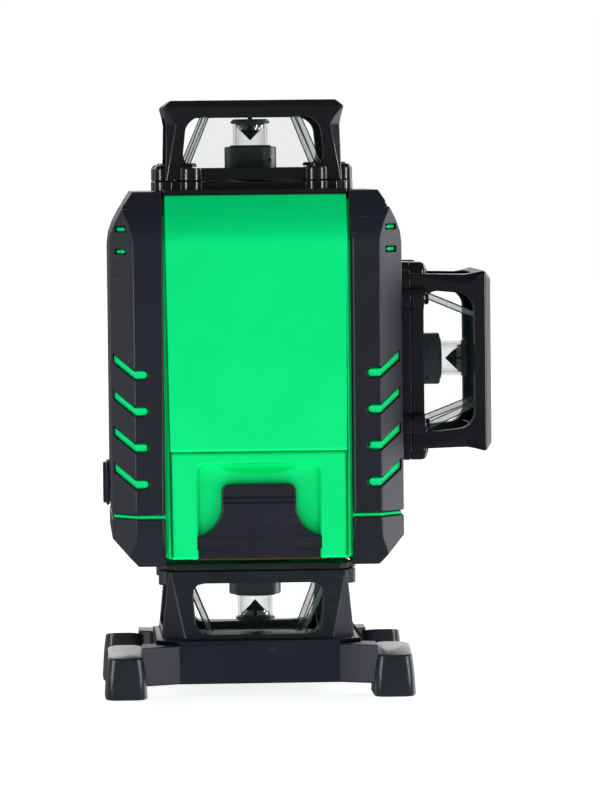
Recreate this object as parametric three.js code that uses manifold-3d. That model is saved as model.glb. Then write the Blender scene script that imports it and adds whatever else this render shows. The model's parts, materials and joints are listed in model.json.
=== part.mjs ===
// Multi-plane laser level: a self-levelling pendulum carries four cone-reflector laser modules
// (top, bottom, right side and front), each standing inside a glazed guard cage on a green and
// black housing. Millimetres, +Z up. The battery face looks along -Y, the side laser along +X and
// the front laser along +Y. The part's origin is the closed end of the tripod socket, on the vertical
// laser axis. Everything is drawn from the floor that the feet stand on, then lowered by SOCKET.end.

import * as THREE from "three";
import { mergeVertices } from "three/addons/utils/BufferGeometryUtils.js";
import Module from "manifold-3d";

const wasm = await Module();
wasm.setup();

// ---------------------------------------------------------------- driving dimensions

const GAP = 0.3; // between pieces that rest on each other

// Housing envelope
const BODY = {
  halfX: 49.5,
  halfY: 48,
  bottom: 45,
  top: 171.5,
  cornerX: 8, // vertical edge chamfer
  cornerY: 10,
  baseX: 8.8, // lower edge chamfer at the sides
  baseY: 4, // lower edge chamfer at front and rear
  baseZ: 9.5,
  shoulderX: 8, // upper slope, taken off the top edge
  shoulderY: 8,
  bendLow: 17.5, // the upper slope starts to bend this far below the top
  bendHighX: 11.5,
  bendHighY: 13,
};
const GUARD_WALL = 2.6;
const HOUSING_INSET = GUARD_WALL + GAP;
const CAVITY_INSET = HOUSING_INSET + 2.4;
const PANEL_HALF = 30.7; // green front and rear panels
const PANEL_BOTTOM = 47.9;
const PANEL_TOP = 170.2;
const GUARD_INNER = PANEL_HALF + 0.9;
const STRIPE = { low: 61.2, high: 62.9, inset: 0.8 };
const CHEVRON = {
  heights: [110, 97.7, 85.4, 73.1],
  thick: 3.3,
  rise: 5.5,
  inner: 38.4,
  bend: 41.5,
  outer: 48.6,
  from: 34, // slots and vents are cut from here outwards
};
const VENT = { heights: [166.7, 159, 151.5], inner: 43.8, outer: 47.4, tall: 2 };
const PAD_INSET = 1; // green pads stand this far below the guards' surface
const FAR = 60; // beyond every side of the body

// Laser axes and the gimbal
const SIDE_AXIS_Z = 112.8; // side and front lasers
const GIMBAL_Z = 138;

// Laser module, measured from the body face it leaves by
const MODULE = {
  barrelR: 8.9,
  seatR: 6.3,
  seatDepth: 5,
  boreR: 2.5,
  boreDepth: 12,
  tubeOuter: 6,
  tubeInner: 5.1,
  tubeSunk: 4.6, // the tube stands this deep in the barrel
  tubeReach: 7.6, // and ends this far beyond it
  capR: 6.7,
  coneR: 3.7,
  coneTip: 2.1,
  pinR: 0.8,
};
const BARREL_TAIL = { top: -21.5, side: -33, front: -31.5, bottom: -34.5 };
const BARREL_END = { top: 15, side: 15, front: 15, bottom: 12.7 };

// Guard cage, in its own frame: +Z leaves the body
const CAGE = {
  deckLow: 0.3,
  deckHigh: 3.1,
  ringLow: 3.4,
  sill: 7.7,
  lintel: 25.2,
  roofLow: 27.8,
  top: 30.8,
  half: 30.7,
  post: 8.3,
  bossAlong: 21.3,
  bossOut: 30,
  bossR: 4,
  bossTop: 9,
  sillHalf: 24.4, // half width of a window at its sill
  lintelHalf: 22.6,
  cornerLow: 3, // vertical edges are cut off by this at the foot of the cage
  cornerHigh: 1.2,
};
const DECK = { half: 31.5, corner: 3, topHole: 13.5, sideHole: 13.2, bottomHole: 16.8 };
const GLASS = { slope: Math.tan(THREE.MathUtils.degToRad(22.7)), halfAtSill: 24.3, thick: 2.1 };

// Stand under the body
const STAND = {
  beamLow: 4.4,
  beamHigh: 18.8,
  lip: 20.7,
  lintel: 38.1,
  top: 42.3,
  beamX: 35,
  beamY: 37,
  opening: 22,
  plateTop: 18.2,
  corner: 8,
  postLow: 32.9, // half width of the posts where they leave the beam
  postHigh: 30.4,
  windowLow: 21,
  windowHigh: 22.6,
  lugLow: 37.2, // lugs that the deck's screws run into
  lugR: 3.8,
  bushR: 10.8,
  bossR: 15,
};
const SOCKET = { radius: 7.95, end: 15, endRadius: 6.4, taper: 1.2, cap: 17.9 };
const FOOT = {
  inner: 38.3,
  outer: 52.6,
  near: 24,
  far: 46,
  topInner: 39.5,
  topOuter: 50.7,
  height: 17.2,
  drop: 1.2, // the top falls by this towards the far end
  cornerLow: 2.6,
  cornerHigh: 2.2,
};

// Battery pack and its latch
const PACK = {
  halfX: 29.5,
  low: 47.6,
  high: 83.5,
  face: -47.4,
  back: -27,
  recessHalf: 21.3,
  recessTop: 80.2,
  recessY: -43,
  scoopR: 16, // finger scoop in the recess's upper edge
  scoopHalf: 10,
};
const LATCH = {
  hingeY: -45,
  hingeZ: 50.6,
  top: 72.7,
  halfTop: 12.6,
  halfLow: 20.9,
  low: 48.4,
  hip: 56.4, // the sides start to draw in here
  waist: 64.5, // and are straight from here up
  corner: 2.5,
  front: -47.2,
  back: -44.8,
  pinR: 0.9,
};

// Pendulum lock
const LOCK = { z: 71.4, crank: 2.5, pinR: 1.1, knobR: 7.9 };

// Keys on the front slope
const KEY = { pitch: 15, halfX: 5, halfS: 3.2, z: 165.4 };

// ---------------------------------------------------------------- geometry helpers

// A closed geometry as a solid that can be cut and joined.
function solid(geometry) {
  const bare = geometry.index ? geometry.toNonIndexed() : geometry.clone();
  bare.deleteAttribute("normal");
  bare.deleteAttribute("uv");
  const merged = mergeVertices(bare, 1e-4);
  return new wasm.Manifold(
    new wasm.Mesh({
      numProp: 3,
      vertProperties: merged.attributes.position.array,
      triVerts: new Uint32Array(merged.index.array),
    }),
  );
}

function geometryOf(body) {
  const mesh = body.getMesh();
  const geometry = new THREE.BufferGeometry();
  geometry.setAttribute("position", new THREE.BufferAttribute(new Float32Array(mesh.vertProperties), 3));
  geometry.setIndex(new THREE.BufferAttribute(new Uint32Array(mesh.triVerts), 1));
  geometry.computeVertexNormals();
  return geometry;
}

const union = (first, ...rest) => rest.reduce((sum, next) => sum.add(next), first);
const cut = (first, ...rest) => rest.reduce((left, next) => left.subtract(next), first);

function shapeOf(points) {
  return new THREE.Shape(points.map(([a, b]) => new THREE.Vector2(a, b)));
}

// Turns a geometry extruded or turned along +Z so that it runs along the named axis.
// Outline points read (x, y) for "z", (x, z) for "y" and (y, z) for "x".
function alongAxis(geometry, axis, from, to) {
  if (axis === "z") return geometry.translate(0, 0, from);
  if (axis === "y") return geometry.rotateX(Math.PI / 2).translate(0, to, 0);
  const cyclic = new THREE.Matrix4().set(0, 0, 1, 0, 1, 0, 0, 0, 0, 1, 0, 0, 0, 0, 0, 1);
  return geometry.applyMatrix4(cyclic).translate(from, 0, 0);
}

function prism(shape, axis, from, to, curveSegments = 6) {
  const outline = Array.isArray(shape) ? shapeOf(shape) : shape;
  const options = { depth: to - from, bevelEnabled: false, curveSegments };
  return solid(alongAxis(new THREE.ExtrudeGeometry(outline, options), axis, from, to));
}

function box(x0, x1, y0, y1, z0, z1) {
  const geometry = new THREE.BoxGeometry(x1 - x0, y1 - y0, z1 - z0);
  return solid(geometry.translate((x0 + x1) / 2, (y0 + y1) / 2, (z0 + z1) / 2));
}

// A cylinder along an axis; "at" is its centre in the plane across that axis, read as an outline point is.
function cylinder(radius, axis, from, to, at = [0, 0], segments = 20) {
  const points = [];
  for (let i = 0; i < segments; i++) {
    const angle = ((i + 0.5) * 2 * Math.PI) / segments;
    points.push([at[0] + radius * Math.cos(angle), at[1] + radius * Math.sin(angle)]);
  }
  return prism(points, axis, from, to);
}

// A body of revolution about +Z from [radius, z] points, which run upwards on the outside.
function turned(profile, segments = 20) {
  const points = profile.map(([radius, z]) => new THREE.Vector2(radius, z));
  return solid(new THREE.LatheGeometry(points, segments).rotateX(Math.PI / 2));
}

// A straight-sided solid between two outlines with the same number of points.
function loft(lower, lowZ, upper, highZ) {
  const count = lower.length;
  const lift = (ring, z) => ring.map(([x, y], i) => [x, y, Array.isArray(z) ? z[i] : z]);
  const position = [...lift(lower, lowZ), ...lift(upper, highZ)].flat();
  const cap = THREE.ShapeUtils.triangulateShape(
    lower.map(([x, y]) => new THREE.Vector2(x, y)),
    [],
  );
  const index = [];
  for (const [a, b, c] of cap) index.push(c, b, a, a + count, b + count, c + count);
  for (let i = 0; i < count; i++) {
    const j = (i + 1) % count;
    index.push(i, j, j + count, i, j + count, i + count);
  }
  const geometry = new THREE.BufferGeometry();
  geometry.setAttribute("position", new THREE.Float32BufferAttribute(position, 3));
  geometry.setIndex(index);
  return solid(geometry);
}

const rectangle = (halfX, halfY = halfX) => [
  [-halfX, -halfY],
  [halfX, -halfY],
  [halfX, halfY],
  [-halfX, halfY],
];

// A rectangle with its corners cut off by clipX and clipY, anticlockwise.
function clippedOutline(halfX, halfY, clipX, clipY = clipX) {
  return [
    [-halfX + clipX, -halfY],
    [halfX - clipX, -halfY],
    [halfX, -halfY + clipY],
    [halfX, halfY - clipY],
    [halfX - clipX, halfY],
    [-halfX + clipX, halfY],
    [-halfX, halfY - clipY],
    [-halfX, -halfY + clipY],
  ];
}

// A four-cornered opening with rounded corners; corners run anticlockwise.
function roundedShape(corners, radius) {
  const points = corners.map(([a, b]) => new THREE.Vector2(a, b));
  const shape = new THREE.Shape();
  points.forEach((corner, i) => {
    const before = points[(i + points.length - 1) % points.length];
    const after = points[(i + 1) % points.length];
    const into = corner.clone().add(before.clone().sub(corner).setLength(radius));
    const out = corner.clone().add(after.clone().sub(corner).setLength(radius));
    if (i === 0) shape.moveTo(into.x, into.y);
    else shape.lineTo(into.x, into.y);
    shape.quadraticCurveTo(corner.x, corner.y, out.x, out.y);
  });
  return shape;
}

const SIGNS = [[-1, -1], [-1, 1], [1, -1], [1, 1]];
const mirrorX = (body) => body.mirror([1, 0, 0]);
const mirrorY = (body) => body.mirror([0, 1, 0]);

// ---------------------------------------------------------------- materials

function paint(color, roughness, metalness = 0, opacity = 1) {
  return new THREE.MeshStandardMaterial({ color, roughness, metalness, opacity, transparent: opacity < 1 });
}

const MATERIALS = {
  green: paint(0x00d977, 0.35),
  black: paint(0x24292f, 0.55),
  gloss: paint(0x16181c, 0.25),
  rubber: paint(0x2b2f36, 0.7),
  anodised: paint(0x2c3034, 0.35, 0.6),
  glass: paint(0xe8f4f2, 0.05, 0, 0.3),
  mirror: paint(0xd9dde0, 0.1, 1),
  aluminium: paint(0xb6babd, 0.4, 0.9),
  copper: paint(0xb5734a, 0.3, 1),
  brass: paint(0xc2a14e, 0.35, 1),
  steel: paint(0x9fa4a8, 0.25, 1),
  board: paint(0x14603c, 0.6),
  cell: paint(0x3c6fb0, 0.5),
};

const level = new THREE.Group();
const standing = new THREE.Group();
standing.position.z = -SOCKET.end;
level.add(standing);

function add(name, body, material, parent = standing) {
  const mesh = new THREE.Mesh(geometryOf(body), MATERIALS[material]);
  mesh.name = name;
  parent.add(mesh);
  return mesh;
}

// ---------------------------------------------------------------- housing and guards

const CHAMFER_LOSS = 0.58; // a chamfer shortens by this share of the inset
const shrink = (size, inset) => size - CHAMFER_LOSS * inset;

function planOutline(inset) {
  const x = BODY.halfX - inset;
  const y = BODY.halfY - inset;
  return clippedOutline(x, y, shrink(BODY.cornerX, inset), shrink(BODY.cornerY, inset));
}

// The outline seen along Y or X: straight sides, cut lower edges and a sloping shoulder.
function elevationOutline(half, base, shoulder, inset, bendHigh) {
  const side = half - inset;
  const low = BODY.bottom + inset;
  const high = BODY.top - inset;
  const shape = new THREE.Shape();
  shape.moveTo(-side + shrink(base, inset), low);
  shape.lineTo(side - shrink(base, inset), low);
  shape.lineTo(side, low + shrink(BODY.baseZ, inset));
  shape.lineTo(side, high - BODY.bendLow);
  shape.quadraticCurveTo(side, high - bendHigh, side - shrink(shoulder, inset), high);
  shape.lineTo(-side + shrink(shoulder, inset), high);
  shape.quadraticCurveTo(-side, high - bendHigh, -side, high - BODY.bendLow);
  shape.lineTo(-side, low + shrink(BODY.baseZ, inset));
  return shape;
}

// The whole body's outer form, taken in by inset all round.
function envelope(inset) {
  const reach = 60;
  const plan = prism(planOutline(inset), "z", BODY.bottom - 5, BODY.top + 5);
  const front = elevationOutline(BODY.halfX, BODY.baseX, BODY.shoulderX, inset, BODY.bendHighX);
  const side = elevationOutline(BODY.halfY, BODY.baseY, BODY.shoulderY, inset, BODY.bendHighY);
  return plan.intersect(prism(front, "y", -reach, reach, 4)).intersect(prism(side, "x", -reach, reach, 4));
}

// The block between the guards whose front and rear faces are the green panels.
function panelBlock() {
  const side = elevationOutline(BODY.halfY, 0.01, BODY.shoulderY, 0, BODY.bendHighY);
  return prism(side, "x", -PANEL_HALF, PANEL_HALF, 4).intersect(
    box(-PANEL_HALF, PANEL_HALF, -60, 60, PANEL_BOTTOM, PANEL_TOP),
  );
}

// The bent slots at one vertical edge, seen along Y, grown by "grow" all round.
function chevrons(grow) {
  const half = CHEVRON.thick / 2 + grow;
  const bodies = CHEVRON.heights.map((z) => {
    const shape = new THREE.Shape();
    shape.moveTo(CHEVRON.outer + grow, z + CHEVRON.rise + half);
    shape.lineTo(CHEVRON.bend, z + half);
    shape.lineTo(CHEVRON.inner, z + half);
    shape.absarc(CHEVRON.inner, z, half, Math.PI / 2, (3 * Math.PI) / 2, false);
    shape.lineTo(CHEVRON.bend, z - half);
    shape.lineTo(CHEVRON.outer + grow, z + CHEVRON.rise - half);
    return prism(shape, "y", CHEVRON.from, FAR, 3);
  });
  const tall = VENT.tall / 2 + grow;
  const vents = VENT.heights.map((z) =>
    box(VENT.inner - grow, VENT.outer + grow, CHEVRON.from, FAR, z - tall, z + tall),
  );
  return union(...bodies, ...vents);
}

const fourCorners = (body) => union(body, mirrorX(body), mirrorY(body), mirrorX(mirrorY(body)));

// Openings that the four laser barrels and the lock shaft need.
function laserOpenings() {
  return union(
    cylinder(13.5, "z", 155, 175),
    cylinder(16.8, "z", 40, 55),
    cylinder(13.2, "x", 40, 52, [0, SIDE_AXIS_Z]),
    cylinder(13.2, "y", 38, 52, [0, SIDE_AXIS_Z]),
    cylinder(3, "x", -52, -38, [0, LOCK.z], 16),
  );
}

function housing() {
  const pads = cut(fourCorners(chevrons(-GAP)).intersect(envelope(PAD_INSET)), envelope(HOUSING_INSET + 0.1));
  const stripe = cut(
    envelope(STRIPE.inset).intersect(box(-60, 60, -60, 60, STRIPE.low + GAP, STRIPE.high - GAP)),
    box(-GUARD_INNER, GUARD_INNER, -60, 60, 0, 200),
  );
  const outside = union(envelope(HOUSING_INSET), panelBlock(), pads, stripe);
  const bay = union(
    box(-PACK.halfX - GAP, PACK.halfX + GAP, -60, -44.9, PACK.low - 1, PACK.high + GAP),
    box(-27.9, 27.9, -60, PACK.back + 0.6, 50.6, 82.1),
    box(-24, 24, -60, -42.5, 46, 54),
  );
  const bayWall = box(-29.6, 29.6, -44, PACK.back + 2.2, 49, 83.8);
  const hollow = cut(outside, envelope(CAVITY_INSET));
  const deckSeat = box(-31.6, 31.6, -39.9, 39.9, BODY.top - GUARD_WALL - GAP, 180);
  const bosses = SIGNS.map(([sx, sy]) => cylinder(3, "z", 163.8, 168, [sx * 24, sy * 22], 12));
  const shell = cut(union(hollow, bayWall, ...bosses), bay, laserOpenings(), deckSeat);
  return cut(shell, keyOpenings());
}

function guards() {
  const ring = cut(envelope(0), envelope(GUARD_WALL), box(-GUARD_INNER, GUARD_INNER, -60, 60, 0, 200));
  const open = cut(ring, fourCorners(chevrons(0)), laserOpenings());
  return {
    upper: cut(open, box(-60, 60, -60, 60, 0, STRIPE.high)),
    lower: cut(open, box(-60, 60, -60, 60, STRIPE.low, 200)),
  };
}

function addHousing() {
  const shell = housing();
  add("rear_housing", cut(shell, box(-70, 70, -GAP / 2, 70, 0, 200)), "green");
  add("front_housing", cut(shell, box(-70, 70, -70, GAP / 2, 0, 200)), "green");
  const { upper, lower } = guards();
  const leftHalf = box(-70, 0, -70, 70, 0, 200);
  const rightHalf = box(0, 70, -70, 70, 0, 200);
  add("left_guard", upper.intersect(leftHalf), "black");
  add("right_guard", upper.intersect(rightHalf), "black");
  add("left_bumper", lower.intersect(leftHalf), "black");
  add("right_bumper", lower.intersect(rightHalf), "black");
}

// ---------------------------------------------------------------- guard cages and glass

// Half width of the glass hood's outer face at a height above the body face.
const glassHalf = (z) => GLASS.halfAtSill - GLASS.slope * (z - CAGE.sill);

function glassHood(top) {
  const wall = GLASS.thick / Math.cos(Math.atan(GLASS.slope));
  const low = CAGE.deckHigh + GAP;
  const frustum = (grow, from, to) => {
    return loft(rectangle(glassHalf(from) + grow), from, rectangle(glassHalf(to) + grow), to);
  };
  return cut(frustum(0, low, top), frustum(-wall, low - 1, top + 1));
}

// The trapezoid window that each side of a cage has, cut straight through both sides.
function cageWindows(sill, lintel, wide, narrow) {
  const shape = roundedShape(
    [
      [-wide, sill],
      [wide, sill],
      [narrow, lintel],
      [-narrow, lintel],
    ],
    4.5,
  );
  return union(prism(shape, "y", -60, 60, 3), prism(shape, "x", -60, 60, 3));
}

function glassRoom(top) {
  const from = 1;
  return loft(rectangle(glassHalf(from) + 0.4), from, rectangle(glassHalf(top) + 0.4), top);
}

function bosses(low, high) {
  const places = SIGNS.flatMap(([s, t]) => [
    [s * CAGE.bossAlong, t * CAGE.bossOut],
    [s * CAGE.bossOut, t * CAGE.bossAlong],
  ]);
  return places.map(([x, y]) => cylinder(CAGE.bossR, "z", low, high, [x, y], 8));
}

function cage() {
  const foot = clippedOutline(CAGE.half, CAGE.half, CAGE.cornerLow);
  const roof = clippedOutline(CAGE.half, CAGE.half, CAGE.cornerHigh);
  const outside = loft(foot, CAGE.ringLow, roof, CAGE.top);
  const clear = CAGE.half - CAGE.post;
  const room = union(glassRoom(CAGE.roofLow), box(-clear, clear, -clear, clear, CAGE.sill, CAGE.roofLow));
  const frame = cut(outside, room, cageWindows(CAGE.sill, CAGE.lintel, CAGE.sillHalf, CAGE.lintelHalf));
  return cut(union(frame, ...bosses(CAGE.ringLow, CAGE.bossTop)), glassRoom(CAGE.roofLow));
}

function deck(holeRadius) {
  const plate = prism(clippedOutline(DECK.half, DECK.half, DECK.corner), "z", CAGE.deckLow, CAGE.deckHigh);
  return cut(union(plate, ...bosses(CAGE.deckLow, CAGE.deckHigh)), cylinder(holeRadius, "z", -1, 5));
}

// A group whose local +Z leaves one face of the body.
function placeOnFace(position, rotation) {
  const group = new THREE.Group();
  group.position.set(...position);
  group.rotation.set(...rotation);
  standing.add(group);
  return group;
}

// The four faces that a laser leaves by.
const FACES = {
  top: placeOnFace([0, 0, BODY.top], [0, 0, 0]),
  side: placeOnFace([BODY.halfX, 0, SIDE_AXIS_Z], [0, Math.PI / 2, 0]),
  front: placeOnFace([0, BODY.halfY, SIDE_AXIS_Z], [-Math.PI / 2, 0, 0]),
  bottom: placeOnFace([0, 0, BODY.bottom], [Math.PI, 0, 0]),
};

// The lower deck is screwed to the stand at its sides only.
const lugPlaces = SIGNS.map(([s, t]) => [s * CAGE.bossOut, t * CAGE.bossAlong]);

function addCages() {
  const glassTop = CAGE.roofLow - GAP;
  const seat = prism(rectangle(31.3, 39.6), "z", -GUARD_WALL, CAGE.deckLow + 0.2);
  const topHole = cylinder(DECK.topHole, "z", -5, 5);
  add("top_deck", cut(union(deck(DECK.topHole), seat), topHole), "gloss", FACES.top);
  for (const face of ["side", "front"]) {
    add(`${face}_deck`, deck(DECK.sideHole), "gloss", FACES[face]);
  }
  for (const face of ["top", "side", "front"]) {
    add(`${face}_cage`, cage(), "gloss", FACES[face]);
    add(`${face}_glass`, glassHood(glassTop), "glass", FACES[face]);
  }
  const lowerTop = BODY.bottom - STAND.top - GAP;
  const lowerPlate = prism(clippedOutline(31, 31, 3), "z", CAGE.deckLow, lowerTop);
  const lugs = lugPlaces.map((place) => cylinder(STAND.lugR, "z", CAGE.deckLow, lowerTop, place, 12));
  const lower = cut(union(lowerPlate, ...lugs), cylinder(DECK.bottomHole, "z", -1, 5));
  add("bottom_deck", lower, "black", FACES.bottom);
  add("bottom_glass", glassHood(BODY.bottom - STAND.plateTop - GAP), "glass", FACES.bottom);
}

// ---------------------------------------------------------------- stand

const ARM = [[20, -30], [27.4, -STAND.beamY], [40, -43.5], [44, -30], [36, -26], [30, -18]];
const ARM_DROP = 0.6; // the arms' tops stand this far below the beams'

function standArm() {
  return prism(ARM, "z", STAND.beamLow, STAND.beamHigh - ARM_DROP);
}

function stand() {
  const { beamLow, beamHigh, lip, lintel, top, beamX, beamY, corner, opening, plateTop, bossR } = STAND;
  const { postLow, postHigh, lugLow, lugR } = STAND;
  const seam = beamHigh - 0.05;
  const beamPlan = clippedOutline(beamX, beamY, corner);
  const beam = prism(beamPlan, "z", beamLow, beamHigh);
  const slope = loft(beamPlan, seam, clippedOutline(opening + 3, opening + 3, 1), lip);
  const lowPlan = clippedOutline(postLow, postLow, corner);
  const posts = loft(lowPlan, seam, clippedOutline(postHigh, postHigh, 0.6), top);
  const lugs = lugPlaces.map((place) => cylinder(lugR, "z", lugLow, top, place, 12));
  const flip = (body) => body.mirror([0, 0, 1]).translate([0, 0, BODY.bottom]);
  const room = flip(glassRoom(BODY.bottom - plateTop));
  const windows = cageWindows(lip, lintel, STAND.windowLow, STAND.windowHigh);
  const clear = box(-opening, opening, -opening, opening, plateTop, lintel);
  const caged = cut(union(posts, ...lugs), room, windows, clear);
  const base = cut(union(beam, slope, fourCorners(standArm())), clear);
  const below = box(-opening, opening, -opening, opening, 0, plateTop - 3);
  const hollow = cut(below, cylinder(bossR, "z", -1, 30));
  const bushHole = cylinder(STAND.bushR + 0.2, "z", -1, 30, [0, 0], 28);
  return cut(union(base, caged), room, hollow, bushHole, fourCorners(footSolid(GAP)));
}

// One rubber foot, at +X +Y; grow widens it for the pocket in the stand.
function footSolid(grow) {
  const { inner, outer, near, far, topInner, topOuter, height, drop, cornerLow, cornerHigh } = FOOT;
  const outline = (x0, x1, y0, y1, r) => [
    [x0 + r, y0],
    [x1 - r, y0],
    [x1 - 0.3 * r, y0 + 0.3 * r],
    [x1, y0 + r],
    [x1, y1 - r],
    [x1 - 0.3 * r, y1 - 0.3 * r],
    [x1 - r, y1],
    [x0 + r, y1],
    [x0 + 0.3 * r, y1 - 0.3 * r],
    [x0, y1 - r],
    [x0, y0 + r],
    [x0 + 0.3 * r, y0 + 0.3 * r],
  ];
  const low = outline(inner - grow, outer + grow, near - grow, far + grow, cornerLow);
  const high = outline(topInner - grow, topOuter + grow, near + 0.6 - grow, far - 0.8 + grow, cornerHigh);
  const heights = high.map(([, y]) => height + 2 * grow - (drop * (y - near)) / (far - near));
  return loft(low, -grow, high, heights);
}

function addStand() {
  add("base_stand", stand(), "black");
  const foot = footSolid(0);
  add("foot_front_right", foot, "rubber");
  add("foot_front_left", mirrorX(foot), "rubber");
  add("foot_rear_right", mirrorY(foot), "rubber");
  add("foot_rear_left", mirrorX(mirrorY(foot)), "rubber");
  const { radius, end, endRadius, taper, cap } = SOCKET;
  const outer = STAND.bushR - 0.1;
  const bush = turned(
    [
      [radius, STAND.beamLow],
      [outer, STAND.beamLow],
      [outer, cap],
      [0, cap],
      [0, end],
      [endRadius, end],
      [radius, end - taper],
      [radius, STAND.beamLow],
    ],
    24,
  );
  add("tripod_bushing", bush, "brass");
}

// ---------------------------------------------------------------- laser modules

// Each module is built along +Z with z = 0 at the body face; "end" is the barrel's outer end.
function barrel(tail, end) {
  const { barrelR, seatR, seatDepth, boreR, boreDepth } = MODULE;
  return turned([
    [0, tail],
    [barrelR, tail],
    [barrelR, end],
    [seatR, end],
    [seatR, end - seatDepth],
    [boreR, end - seatDepth],
    [boreR, end - boreDepth],
    [0, end - boreDepth],
  ]);
}

function glassTube(end) {
  const { tubeOuter, tubeInner, tubeSunk, tubeReach } = MODULE;
  const from = end - tubeSunk;
  const to = end + tubeReach;
  return turned([
    [tubeInner, from],
    [tubeOuter, from],
    [tubeOuter, to],
    [tubeInner, to],
    [tubeInner, from],
  ], 16);
}

function coneReflector(end) {
  const { capR, coneR, coneTip, pinR, tubeReach } = MODULE;
  const tip = end + coneTip;
  const cap = end + tubeReach + GAP;
  return turned([
    [0, tip],
    [coneR, tip + coneR],
    [coneR, cap - 0.4],
    [4.6, cap - 0.4],
    [4.6, cap],
    [capR, cap],
    [capR, cap + 1.1],
    [capR - 0.9, cap + 1.6],
    [pinR, cap + 1.6],
    [pinR, cap + 2.7],
    [0, cap + 2.7],
  ], 16);
}

function addModules() {
  for (const [face, group] of Object.entries(FACES)) {
    const end = BARREL_END[face];
    add(`${face}_laser_barrel`, barrel(BARREL_TAIL[face], end), "anodised", group);
    add(`${face}_laser_tube`, glassTube(end), "glass", group);
    add(`${face}_cone_reflector`, coneReflector(end), "mirror", group);
  }
}

// ---------------------------------------------------------------- pendulum and gimbal

const CLAMP_R = 11.5;
const CLAMP_BORE = MODULE.barrelR + GAP;

function pendulumBlock() {
  const column = box(-11, 11, -11, 11, 78, 159);
  const top = cylinder(CLAMP_R, "z", 146, 159.5);
  const low = cylinder(CLAMP_R, "z", 77.3, 90);
  const side = cylinder(CLAMP_R, "x", 0, 27, [0, SIDE_AXIS_Z]);
  const front = cylinder(CLAMP_R, "y", 0, 27, [0, SIDE_AXIS_Z]);
  const trunnions = cylinder(1.45, "x", -21, 21, [0, GIMBAL_Z], 10);
  const bores = [
    cylinder(CLAMP_BORE, "z", BODY.top + BARREL_TAIL.top - GAP, 170),
    cylinder(CLAMP_BORE, "z", 60, BODY.bottom - BARREL_TAIL.bottom + GAP),
    cylinder(CLAMP_BORE, "x", BODY.halfX + BARREL_TAIL.side - GAP, 40, [0, SIDE_AXIS_Z]),
    cylinder(CLAMP_BORE, "y", BODY.halfY + BARREL_TAIL.front - GAP, 40, [0, SIDE_AXIS_Z]),
  ];
  return cut(union(column, top, low, side, front, trunnions), ...bores);
}

// The copper disc is part of a sphere about the gimbal centre, so its gap to the magnets never changes.
function dampingDisc() {
  const sphere = (radius, r) => GIMBAL_Z - Math.sqrt(radius * radius - r * r);
  const outer = 66;
  const inner = 64;
  const under = [9.3, 13, 18.5].map((r) => [r, sphere(outer, r)]);
  const over = [18.5, 15, 12.4].map((r) => [r, sphere(inner, r)]);
  return turned([...under, ...over, [12.4, 77], [9.3, 77], under[0]], 24);
}

function gimbalRing() {
  const z0 = GIMBAL_Z - 4.8;
  const z1 = GIMBAL_Z + 4.8;
  const frame = cut(box(-22, 22, -20, 20, z0, z1), box(-17, 17, -15.5, 15.5, z0 - 1, z1 + 1));
  const trunnions = cylinder(1.45, "y", -27, 27, [0, GIMBAL_Z], 10);
  const inside = box(-16, 16, -16, 16, z0 - 1, z1 + 1);
  const seats = cylinder(3.8, "x", -30, 30, [0, GIMBAL_Z], 16);
  return cut(union(frame, cut(trunnions, inside)), seats);
}

function gimbalBracket() {
  const plate = cut(box(-28, 28, -28, 28, 160.4, 163.4), cylinder(14, "z", 150, 170));
  const leg = box(-7, 7, 23.5, 28, GIMBAL_Z - 6, 161);
  const legs = union(leg, mirrorY(leg));
  return cut(union(plate, legs), cylinder(3.8, "y", -40, 40, [0, GIMBAL_Z], 16));
}

function ballBearing(axis, from, to) {
  return cut(
    cylinder(3.5, axis, from, to, [0, GIMBAL_Z], 16),
    cylinder(1.7, axis, from - 1, to + 1, [0, GIMBAL_Z], 12),
  );
}

function magnetCarrier() {
  const ring = cut(cylinder(23.2, "z", 66.5, 69, [0, 0], 24), cylinder(15.8, "z", 60, 80, [0, 0], 24));
  const fingerSlot = box(-30, -12, -5, 5, 60, 80);
  const boardSide = box(-30, 30, -30, -21.8, 60, 80);
  const legs = SIGNS.map(([sx, sy]) => cylinder(2.4, "z", 50.7, 67, [sx * 13.6, sy * 13.6], 8));
  const guides = [-1, 1].map((sy) =>
    union(
      box(-30.3, -20, Math.min(sy * 5.3, sy * 8), Math.max(sy * 5.3, sy * 8), 66.5, 69),
      box(-30.3, -27.6, Math.min(sy * 5.3, sy * 8), Math.max(sy * 5.3, sy * 8), 62, 78),
    ),
  );
  return union(cut(ring, fingerSlot, boardSide), ...legs, ...guides);
}

function addPendulum() {
  add("pendulum_block", pendulumBlock(), "aluminium");
  add("damping_disc", dampingDisc(), "copper");
  const weight = cut(box(-27.5, -11.3, -27.5, -11.3, 97, 123), box(-12, 0, -12, 0, 90, 130));
  add("counterweight", weight, "brass");
  add("gimbal_ring", gimbalRing(), "aluminium");
  add("gimbal_bracket", gimbalBracket(), "aluminium");
  add("gimbal_bearing_front", ballBearing("y", 24, 27.4), "steel");
  add("gimbal_bearing_rear", ballBearing("y", -27.4, -24), "steel");
  add("gimbal_bearing_left", ballBearing("x", -21.4, -18), "steel");
  add("gimbal_bearing_right", ballBearing("x", 18, 21.4), "steel");
  add("magnet_carrier", magnetCarrier(), "black");
  for (const [name, sign] of [["left", -1], ["right", 1]]) {
    add(`damping_magnet_${name}`, cylinder(3.3, "z", 69.3, 72.6, [sign * 13.8, sign * 13.8], 16), "steel");
  }
}

// ---------------------------------------------------------------- pendulum lock

// The crank pin starts 45 degrees below the shaft and ends 45 degrees above it.
const CRANK_OFFSET = LOCK.crank * Math.SQRT1_2;

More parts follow.
